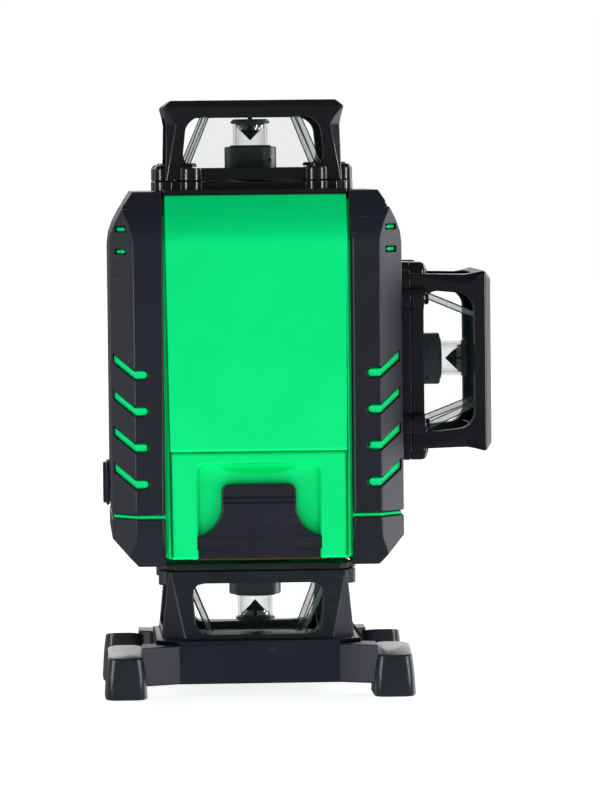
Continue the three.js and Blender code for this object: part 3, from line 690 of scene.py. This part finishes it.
def cage_solid():
    sections = [  # height, half width, size of the corner cut
        (CAGE_LOW, 30.0, 0.5),
        (8.5, 29.8, 1.1),
        (22.3, 29.5, 3.5),
        (24.8, 29.9, 2.6),
        (28.0, CAGE_HALF, 0.8),
        (CAGE_HIGH - 2.0, CAGE_HALF, 0.9),
        (CAGE_HIGH, CAGE_HALF - 2.5, 0.6),
    ]
    outside = loft([at_height(clipped(half, half, clip), z) for z, half, clip in sections])
    solid = join(outside, *[domed_boss(place) for place in boss_places()])
    clear = CAGE_HALF - POST
    room = block((-clear, -clear, SILL), (clear, clear, LINTEL_ROOM))
    return cut(solid, room, glass_room(), *window_tools())


def cage_rule(middle, direction):
    """The bosses' domes are round already."""
    near = min(math.hypot(middle.x - x, middle.y - y) for x, y in boss_places())
    if middle.z > SILL - 1.2 and near < BOSS_R + 0.2:
        return 0.0
    return None


def deck_solid():
    """The plate under a cage. Its bevelled upper edge draws a dark line below the cage."""
    low = 0.04
    high = CAGE_LOW - 0.03
    plate = prism(clipped(DECK_HALF, DECK_HALF, DECK_CLIP), low, high)
    bosses = [prism(circle(BOSS_R + 0.1, place, BOSS_SEGMENTS), low, high) for place in boss_places()]
    return cut(join(plate, *bosses), prism(circle(BARREL_ROOM, segments=48), low - 1, high + 1))


def seat_plate():
    """The upper part of the plate that the top cage's deck stands on."""
    low, high = span("top_deck")
    outer = block((low.x + 2.6, low.y, low.z - BODY_TOP), (high.x - 2.6, high.y, 0.6))
    return cut(outer, prism(circle(BARREL_ROOM + 0.1, segments=48), -10, 10))


SCREW_R = 1.9
SOCKET_R = 0.95


def screw_set(top):
    """The eight cap screws in a cage's bosses, each with a round socket."""
    profile = [(0, top - 0.6), (SCREW_R, top - 0.6), (SCREW_R, top + 0.3), (SCREW_R - 0.4, top + 0.7)]
    profile += [(SOCKET_R, top + 0.7), (SOCKET_R, top), (0, top)]
    bm = bmesh.new()
    for x, y in boss_places():
        collect(bm, moved(turned(profile, 24), Matrix.Translation((x, y, 0))))
    return link(bm, "screws")


def pane(low, high):
    """One trapezoid pane, on the -Y side, with mitred ends."""
    rings = []
    for z in (low, high):
        outer = glass_half(z)
        inner = outer - PANE_DEPTH
        front = [(-outer + PANE_GAP, -outer, z), (outer - PANE_GAP, -outer, z)]
        rings.append(front + [(inner - PANE_GAP, -inner, z), (-inner + PANE_GAP, -inner, z)])
    return loft(rings)


def hood_solid(low, high):
    bm = bmesh.new()
    for quarter in range(4):
        collect(bm, moved(pane(low, high), Matrix.Rotation(quarter * QUARTER, 4, "Z")))
    return link(bm, "hood")


def hood_seams(low, high):
    """Dark glue lines down the mitred corners, at the outer and at the inner edge of the panes."""
    bm = bmesh.new()
    for depth in (GLUE_LINE, PANE_DEPTH):
        ends = [(depth - glass_half(z), z) for z in (low, high)]
        for quarter in range(4):
            line = loft([at_height(square_at(out, out, GLUE_LINE), z) for out, z in ends])
            collect(bm, moved(line, Matrix.Rotation(quarter * QUARTER, 4, "Z")))
    return link(bm, "seams")


MITRE_AREA = 110e-6  # in square metres; the panes' mitred ends are smaller, their faces larger


def build_hood(face, high):
    low = span("side_glass")[0].x - BODY_HALF_X
    node = face + "_glass"
    hood = piece(hood_solid(low, high), node + "_panes", "body", "window", [node], FACES[face])
    # The small mitred ends get the lighter edge glass, whose tint is partly painted light.
    hood.data.materials.append(MATERIALS["glass_edge"])
    for polygon in hood.data.polygons:
        if polygon.area < MITRE_AREA:
            polygon.material_index = 1
    piece(hood_seams(low, high), node + "_seams", "body", "seam", matrix=FACES[face])


def build_cages():
    for face in ("top", "side", "front"):
        cage = soften(cage_solid(), 0.45, rule=cage_rule)
        piece(cage, face + "_cage_frame", "body", "gloss", [face + "_cage"], FACES[face])
        piece(smooth(screw_set(SILL + 1.0)), face + "_cage_screws", "body", "screw", matrix=FACES[face])
        build_hood(face, GLASS_HIGH)
    for face in ("side", "front"):
        deck = soften(deck_solid(), 0.35)
        piece(deck, face + "_deck_plate", "body", "gloss", [face + "_deck"], FACES[face])
    deck = soften(join(deck_solid(), seat_plate()), 0.35)
    piece(deck, "top_deck_plate", "body", "gloss", ["top_deck"], FACES["top"])
    build_hood("bottom", BODY_BOTTOM - span("bottom_glass")[0].z)


# ------------------------------------------------------------------ stand and feet


FOOT_LOW, FOOT_HIGH = span("foot_front_right")
FOOT_SLOPE = 0.15  # the feet's tops fall away from the stand
FOOT_CORNER = 3.2
BEAM_HALF_X = 35.0
BEAM_HALF_Y = 37.0
BEAM_CORNER = 8.0
BEAM_LOW = 4.4  # above the floor
BEAM_HIGH = 18.8
ARM_END = 39.8  # inside the foot
ARM_OUTLINE = [(30, 18), (36, 26), (ARM_END, 27.9), (ARM_END, 43.4), (27.4, 36.9), (20, 30)]
ARM_LIFT = 0.3


def stand_arm():
    """The arm at +X +Y, a little higher than the foot that it runs into."""
    return prism(ARM_OUTLINE, FLOOR + BEAM_LOW, FOOT_HIGH.z + ARM_LIFT)


def beam_surroundings():
    """Everything outside the stand's beams, up to their upper side."""
    room = block((-FAR, -FAR, FLOOR - 1), (FAR, FAR, FLOOR + BEAM_HIGH + 0.3))
    plan = clipped(BEAM_HALF_X - 0.05, BEAM_HALF_Y - 0.05, BEAM_CORNER)
    return cut(room, prism(plan, FLOOR - 2, FLOOR + BEAM_HIGH + 2))


def stand_rule(middle, direction):
    """Fine edges where the arms run into the feet."""
    if abs(middle.x) > 36.5 and abs(middle.y) > 34:
        return 0.15
    return None


def build_stand():
    beams_and_cage = cut(cad_copy("base_stand"), beam_surroundings())
    stand = join(beams_and_cage, *four_ways(stand_arm()))
    piece(soften(stand, 0.5, rule=stand_rule), "stand_frame", "body", "stand", ["base_stand"])
    deck = soften(cad_copy("bottom_deck"), 0.4)
    piece(deck, "bottom_deck_plate", "body", "stand", ["bottom_deck"])


def foot_solid():
    """The foot at +X +Y, drawn in at its top, which slopes away from the stand."""
    top = FOOT_HIGH.z - FLOOR
    levels = [(0.0, 0.8), (0.3, 0.25), (0.9, 0.0), (top / 2, 0.45), (top - 1.4, 1.0)]
    levels += [(top - 0.6, 1.08), (top - 0.2, 1.25), (top, 1.75)]
    rings = []
    for height, inset in levels:
        near = (FOOT_LOW.x + inset, FOOT_LOW.y + inset * 0.5)
        far = (FOOT_HIGH.x - inset, FOOT_HIGH.y - inset * 0.7)
        outline = rounded(rectangle(near, far), FOOT_CORNER, 6)
        slope = FOOT_SLOPE * max(0.0, 2 * height / top - 1)
        rings.append([(x, y, FLOOR + height - slope * (y - FOOT_LOW.y)) for x, y in outline])
    return loft(rings)


def build_feet():
    places = ("front_right", "front_left", "rear_right", "rear_left")
    for place, foot in zip(places, four_ways(foot_solid())):
        name = "foot_" + place
        piece(smooth(foot, 40), name + "_pad", "body", "rubber", [name])


# ------------------------------------------------------------------ laser modules


def module_heights(face):
    """Lower and upper end of barrel, tube and cone above the body face, from the frame."""
    turn_back = FACES[face].inverted()

    def reach(node):
        corners = [turn_back @ corner for corner in span(node)]
        return min(c.z for c in corners), max(c.z for c in corners)

    return reach(f"{face}_laser_barrel"), reach(f"{face}_laser_tube"), reach(f"{face}_cone_reflector")


SEAT_DEPTH = 4.8  # the tube's seat in the barrel
BEAM_BORE = 2.4
BORE_DEPTH = 12.0
SCREW_HOLE_R = 0.75
SCREW_HOLE_TURN = math.radians(47)
TUBE_R = 5.95
TUBE_BORE = 5.15


def build_barrel(face, low, end):
    """The barrel with the tube's seat, the beam's bore and a small hole for a grub screw."""
    radius = BARREL_R
    profile = [(0, low), (radius, low), (radius, end - 0.35), (radius - 0.35, end), (7.2, end)]
    profile += [(6.9, end + 0.5), (6.4, end + 0.5), (6.3, end - SEAT_DEPTH), (BEAM_BORE, end - SEAT_DEPTH)]
    profile += [(BEAM_BORE, end - BORE_DEPTH), (0, end - BORE_DEPTH)]
    hole = along(prism(circle(SCREW_HOLE_R, (0, end - 4.6), 16), -12, -7.6), "y")
    moved(hole, Matrix.Rotation(SCREW_HOLE_TURN, 4, "Z"))
    barrel = smooth(cut(turned(profile), hole), 28)
    piece(barrel, face + "_barrel", "pendulum", "barrel", [f"{face}_laser_barrel"], FACES[face])


def build_tube(face, low, high):
    tube = turned([(TUBE_BORE, low), (TUBE_R, low), (TUBE_R, high), (TUBE_BORE, high)], closed=True)
    piece(smooth(tube), face + "_tube", "pendulum", "tube", [f"{face}_laser_tube"], FACES[face])


CONE_R = 3.75
CAP_R = 6.7
CAP_PIN_R = 0.8


def build_cone(face, tip, high, tube_end):
    """The mirror cone hangs under a dark cap that closes the tube."""
    cap = tube_end + 0.25
    profile = [(0, tip), (CONE_R, tip + CONE_R), (CONE_R, tip + CONE_R + 0.6), (4.7, tip + CONE_R + 0.6)]
    profile += [(4.8, cap - 0.4), (0, cap - 0.4)]
    cone = smooth(turned(profile), 25)
    piece(cone, face + "_cone", "pendulum", "mirror", [f"{face}_cone_reflector"], FACES[face])
    lid = [(0, cap - 0.5), (5.0, cap - 0.5), (5.0, cap), (6.35, cap), (CAP_R, cap + 0.35)]
    lid += [(CAP_R, cap + 0.9), (6.3, cap + 0.95), (6.3, cap + 1.25), (5.7, cap + 1.6)]
    lid += [(CAP_PIN_R, cap + 1.6), (CAP_PIN_R, high - 0.3), (CAP_PIN_R - 0.3, high), (0, high)]
    piece(smooth(turned(lid), 25), face + "_tube_cap", "pendulum", "barrel", matrix=FACES[face])


def build_modules():
    for face in FACES:
        barrel, tube, cone = module_heights(face)
        build_barrel(face, *barrel)
        build_tube(face, *tube)
        build_cone(face, *cone, tube[1])


# ------------------------------------------------------------------ battery, latch, knob and keys


def eased(value):
    """A smooth step from 0 to 1."""
    t = min(1.0, max(0.0, value))
    return t * t * (3 - 2 * t)


def edge_drop(distance, radius):
    """How far a rounded edge has fallen back at a distance from the side."""
    if distance >= radius:
        return 0.0
    return radius - math.sqrt(max(0.0, radius ** 2 - (radius - distance) ** 2))


RECESS_HALF = 21.3  # the finger recess is open at its lower end
RECESS_TOP = 3.3  # below the top of the battery case
RECESS_DEPTH = 4.0
RECESS_CORNER = 3.4
RECESS_FILLET = 1.7
SCOOP_HALF = 14.5
SCOOP_REACH = 4.3
SCOOP_DEPTH = 2.7
BOWL_DEPTH = 0.9
FACE_STEP = 0.42
SLAB = 6.9  # thickness of the modelled face, including the recess
COVER_RIM = 2.2  # thickness of the face's rim
TRAY_WALL = 1.5


def battery_depth(x, above, below, half):
    """Depth of the face at x, at distances above and below from the case's top and bottom."""
    aside = RECESS_HALF - abs(x)
    under = above - RECESS_TOP
    inside = min(aside, under)
    if aside < RECESS_CORNER and under < RECESS_CORNER:
        inside = RECESS_CORNER - math.hypot(RECESS_CORNER - aside, RECESS_CORNER - under)
    depth = RECESS_DEPTH * eased(inside / RECESS_FILLET)
    if inside > 0:
        depth += BOWL_DEPTH * eased(inside / RECESS_HALF)
        lens = 1 - (x / SCOOP_HALF) ** 2 - (under / SCOOP_REACH) ** 2
        depth += SCOOP_DEPTH * max(0.0, lens) * eased(under / 0.9)
    return depth + edge_drop(half - abs(x), 1.1) + edge_drop(above, 0.9) + edge_drop(below, 0.7)


def battery_face():
    """The battery's outer wall as a fine grid, closed by a flat back."""
    low, high = BATTERY_LOW, BATTERY_HIGH
    columns = round((high.x - low.x) / FACE_STEP)
    rows = round((high.z - low.z) / FACE_STEP)
    bm = bmesh.new()
    grid = []
    for row in range(rows + 1):
        z = low.z + (high.z - low.z) * row / rows
        line = []
        for column in range(columns + 1):
            x = low.x + (high.x - low.x) * column / columns
            depth = battery_depth(x, high.z - z, z - low.z, high.x)
            line.append(bm.verts.new((x, low.y + depth, z)))
        grid.append(line)
    for lower, upper in zip(grid, grid[1:]):
        for i in range(columns):
            bm.faces.new((lower[i], lower[i + 1], upper[i + 1], upper[i]))
    rim = grid[0][:-1] + [line[-1] for line in grid[:-1]]
    rim += grid[-1][:0:-1] + [line[0] for line in grid[:0:-1]]
    back = [bm.verts.new((vert.co.x, low.y + SLAB, vert.co.z)) for vert in rim]
    for i in range(len(rim)):
        j = (i + 1) % len(rim)
        bm.faces.new((rim[j], rim[i], back[i], back[j]))
    bm.faces.new(back)
    return link(bm, "battery_face")


LATCH_NARROW = 12.6  # half width of the lever's grip
LATCH_CORNER = 2.6
LATCH_FLARE_LOW = 7.2  # above the latch's lower edge
LATCH_FLARE_HIGH = 16.6
LATCH_SHOULDER = 1.2  # rounding of the flare's lower end
LATCH_BEND = 3.4
LATCH_GROOVES = (4.4, 6.2)  # below the lever's top
LATCH_EDGE = 0.7
LATCH_HEM = 0.6  # the lever reaches this far below the CAD's plain lever
LATCH_STEPS = 260
PIN_R = 0.35
PIN_BACK = 1.5  # behind the lever's foremost plane
ARC_STEPS = [math.radians(angle) for angle in (0, 18, 36, 54, 72, 90)]


def latch_half(height, top, wide):
    """Half width of the latch at a height above its lower edge."""
    if height <= LATCH_FLARE_LOW - LATCH_SHOULDER:
        return wide
    if height <= LATCH_FLARE_LOW:
        return wide - edge_drop(LATCH_FLARE_LOW - height, LATCH_SHOULDER)
    if height < LATCH_FLARE_HIGH:
        t = (height - LATCH_FLARE_LOW) / (LATCH_FLARE_HIGH - LATCH_FLARE_LOW)
        share = (1 - math.sqrt(max(0.0, 1 - (1 - t) ** 2))) ** 0.8
        return LATCH_NARROW + (wide - LATCH_SHOULDER - LATCH_NARROW) * share
    return LATCH_NARROW - edge_drop(top - height, LATCH_CORNER)


def latch_front(height, top):
    """How far the latch's front stands behind its foremost plane."""
    drop = edge_drop(top - height, LATCH_EDGE)
    drop += 1.3 * eased((LATCH_BEND - height) / 1.1)
    upper, lower = [top - depth for depth in LATCH_GROOVES]
    for groove in (upper, lower):
        drop += 0.5 * max(0.0, 1 - (abs(height - groove) / 0.32) ** 2)
    return drop + 0.2 * eased((upper - height) / 0.2) * eased((height - lower) / 0.2)


def latch_solid():
    low, high = span("battery_latch")
    low.z -= LATCH_HEM
    top = high.z - low.z
    rings = []
    for step in range(LATCH_STEPS + 1):
        height = top * step / LATCH_STEPS
        half = latch_half(height, top, high.x)
        flat_half = half - LATCH_EDGE
        centre = low.y + latch_front(height, top) + LATCH_EDGE
        arc = [(flat_half + LATCH_EDGE * math.sin(a), centre - LATCH_EDGE * math.cos(a)) for a in ARC_STEPS]
        back = high.y if height < top - 0.3 else high.y - 0.3
        right = arc + [(half, back - 0.3), (half - 0.3, back)]
        ring = right + [(-x, y) for x, y in reversed(right)]
        rings.append(at_height(ring, low.z + height))
    return loft(rings)


def latch_pin():
    """The thin metal rod along the lever's lower edge."""
    low, high = span("battery_latch")
    end = high.x - 0.15
    shoulder = high.x - 0.3
    rod = along(turned([(0, -end), (PIN_R, -shoulder), (PIN_R, shoulder), (0, end)], 24), "x")
    return moved(rod, Matrix.Translation((0, low.y + PIN_BACK, low.z - LATCH_HEM - PIN_R)))


def battery_cover():
    """The outer wall, thin at its rim and deep only where it carries the finger recess."""
    low, high = BATTERY_LOW, BATTERY_HIGH
    tub_low, tub_high = span("battery_lid")
    step = low.y + COVER_RIM
    back = low.y + SLAB + 1
    sides = [
        block((low.x - 1, step, low.z - 1), (tub_low.x, back, high.z + 1)),
        block((tub_high.x, step, low.z - 1), (high.x + 1, back, high.z + 1)),
        block((tub_low.x - 1, step, tub_high.z), (tub_high.x + 1, back, high.z + 1)),
        block((tub_low.x - 1, step, low.z - 1), (tub_high.x + 1, back, tub_low.z)),
    ]
    return cut(battery_face(), *sides)


def battery_tray():
    """The four walls behind the cover that hold the cells; the lid closes them."""
    low, high = span("battery_lid")
    front = BATTERY_LOW.y + SLAB - 0.4
    outer = block((low.x, front, low.z), (high.x, low.y - 0.3, high.z))
    room_low = (low.x + TRAY_WALL, front - 1, low.z + TRAY_WALL)
    room_high = (high.x - TRAY_WALL, low.y + 1, high.z - TRAY_WALL)
    return cut(outer, block(room_low, room_high))


def build_battery():
    piece(smooth(battery_cover(), 50), "battery_cover", "battery", "green", ["battery_case"])
    piece(soften(battery_tray(), 0.3, 2), "battery_tray", "battery", "green", ["battery_case"])
    piece(smooth(latch_solid(), 40), "latch_lever", "latch", "armour", ["battery_latch"])
    piece(latch_pin(), "latch_rod", "latch", "brass", ["battery_latch"])


def build_knob():
    knob = soften(cad_copy("lock_knob"), 0.4)
    piece(knob, "lock_knob_cap", "lock", "armour", ["lock_knob"])


def build_keys():
    for word in ("horizontal", "vertical", "pulse"):
        node = "key_" + word
        piece(soften(cad_copy(node), 0.5), node + "_cap", word + "_key", "keypad", [node])


# ------------------------------------------------------------------ studio


SUBJECT = Vector((0, 0, 0.09))  # metres


def area_light(name, place, size, power, glossy=False):
    """A soft light on the object, for its matt look only or, with glossy, for its reflections only."""
    data = bpy.data.lights.new(name, "AREA")
    data.shape = "RECTANGLE"
    data.size, data.size_y = size
    data.energy = power
    light = bpy.data.objects.new(name, data)
    light.location = place
    light.rotation_euler = (SUBJECT - Vector(place)).to_track_quat("-Z", "Y").to_euler()
    light.visible_glossy = glossy
    light.visible_diffuse = not glossy
    bpy.context.scene.collection.objects.link(light)


AMBIENT = 0.1
RIGHT_GLOW = 4.4
LEFT_GLOW = 0.8
FAR_GLOW = 3.4
FLOOR_SEEN = 0.86  # the floor's own light as the camera sees it
FLOOR_GLOW = 1.72  # and as it falls on the object
FLOOR_HALF = 6.0  # metres


def build_world():
    """White to the camera, and to other rays a dark room with bright right, far and dim left sides."""
    world = bpy.data.worlds.new("studio_world")
    bpy.context.scene.world = world
    world.use_nodes = True
    tree = world.node_tree
    background = tree.nodes["Background"]
    place = tree.nodes.new("ShaderNodeTexCoord")
    way = tree.nodes.new("ShaderNodeSeparateXYZ")
    tree.links.new(place.outputs["Generated"], way.inputs["Vector"])
    x, y, z = (way.outputs[name] for name in "XYZ")
    right = falloff(tree, x, 0.45, 0.92, RIGHT_GLOW)
    left = falloff(tree, x, -0.5, -0.95, LEFT_GLOW)
    below_sky = falloff(tree, z, 0.7, 0.3, 1.0)
    raised = math_node(tree, "MULTIPLY", falloff(tree, z, 0.12, 0.3, 1.0), below_sky)
    far = math_node(tree, "MULTIPLY", falloff(tree, y, 0.3, 0.85, FAR_GLOW), raised)
    beyond = math_node(tree, "MULTIPLY", falloff(tree, y, 0.1, 0.4, 1.0), below_sky)
    sides = math_node(tree, "MULTIPLY", math_node(tree, "ADD", right, left), beyond)
    room = math_node(tree, "ADD", math_node(tree, "ADD", sides, far), AMBIENT)
    ray = tree.nodes.new("ShaderNodeLightPath")
    seen = tree.nodes.new("ShaderNodeMix")
    seen.inputs["B"].default_value = 1.0
    tree.links.new(ray.outputs["Is Camera Ray"], seen.inputs["Factor"])
    tree.links.new(room, seen.inputs["A"])
    tree.links.new(seen.outputs["Result"], background.inputs["Strength"])
    background.inputs["Color"].default_value = (1, 1, 1, 1)


def build_floor():
    bm = bmesh.new()
    bm.faces.new([bm.verts.new((x, y, FLOOR * MM)) for x, y in square_at(0, 0, FLOOR_HALF)])
    floor = link(bm, "studio_floor")
    material, tree, shader = node_tree("studio_paper")
    paper = tint(tree, spread(tree, add_noise(tree, 3, 2), 0, 1), (0.78, 0.78, 0.78), (0.82, 0.82, 0.82))
    tree.links.new(paper, shader.inputs["Base Color"])
    shader.inputs["Roughness"].default_value = 0.9
    shader.inputs["Specular IOR Level"].default_value = 0.05
    shader.inputs["Emission Color"].default_value = (1, 1, 1, 1)
    ray = tree.nodes.new("ShaderNodeLightPath")
    glow = tree.nodes.new("ShaderNodeMapRange")
    glow.inputs["To Min"].default_value = FLOOR_GLOW
    glow.inputs["To Max"].default_value = FLOOR_SEEN
    tree.links.new(ray.outputs["Is Camera Ray"], glow.inputs["Value"])
    tree.links.new(glow.outputs["Result"], shader.inputs["Emission Strength"])
    floor.data.materials.append(material)
    floor.visible_glossy = False


def build_studio():
    build_world()
    build_floor()
    area_light("front_fill", (-0.1, -1.7, 0.12), (1.3, 1.0), 4.6)
    area_light("left_box", (-0.95, -0.75, 0.2), (0.12, 0.9), 10.0, glossy=True)
    area_light("right_box", (1.0, -0.7, 0.2), (0.14, 0.9), 11.0, glossy=True)
    bpy.context.scene.view_settings.view_transform = "Standard"


CAMERA_DISTANCE = 1.9  # metres from the object's axis
CAMERA_HEIGHT = 0.1817  # metres above the floor
CAMERA_AZIMUTH = math.radians(2.1)  # to the left of straight behind
CAMERA_PITCH = math.radians(2.495)  # downwards
CAMERA_YAW = math.radians(0.49)
CAMERA_ROLL = math.radians(0.6)
LENS = 247.8  # millimetres
PICTURE_HEIGHT = 36.0


def build_camera():
    data = bpy.data.cameras.new("camera")
    data.sensor_fit = "VERTICAL"
    data.sensor_height = PICTURE_HEIGHT
    data.lens = LENS
    camera = bpy.data.objects.new("camera", data)
    place = Vector((-math.sin(CAMERA_AZIMUTH), -math.cos(CAMERA_AZIMUTH), 0)) * CAMERA_DISTANCE
    place.z = FLOOR * MM + CAMERA_HEIGHT
    turn = Matrix.Rotation(-CAMERA_AZIMUTH - CAMERA_YAW, 4, "Z")
    turn @= Matrix.Rotation(QUARTER - CAMERA_PITCH, 4, "X")
    turn @= Matrix.Rotation(-CAMERA_ROLL, 4, "Z")
    camera.matrix_world = Matrix.Translation(place) @ turn
    bpy.context.scene.collection.objects.link(camera)
    bpy.context.scene.camera = camera


# ------------------------------------------------------------------ assembly

finish_cad_nodes()
build_guards()
build_housing()
build_cages()
build_stand()
build_feet()
build_modules()
build_battery()
build_knob()
build_keys()
build_studio()
build_camera()
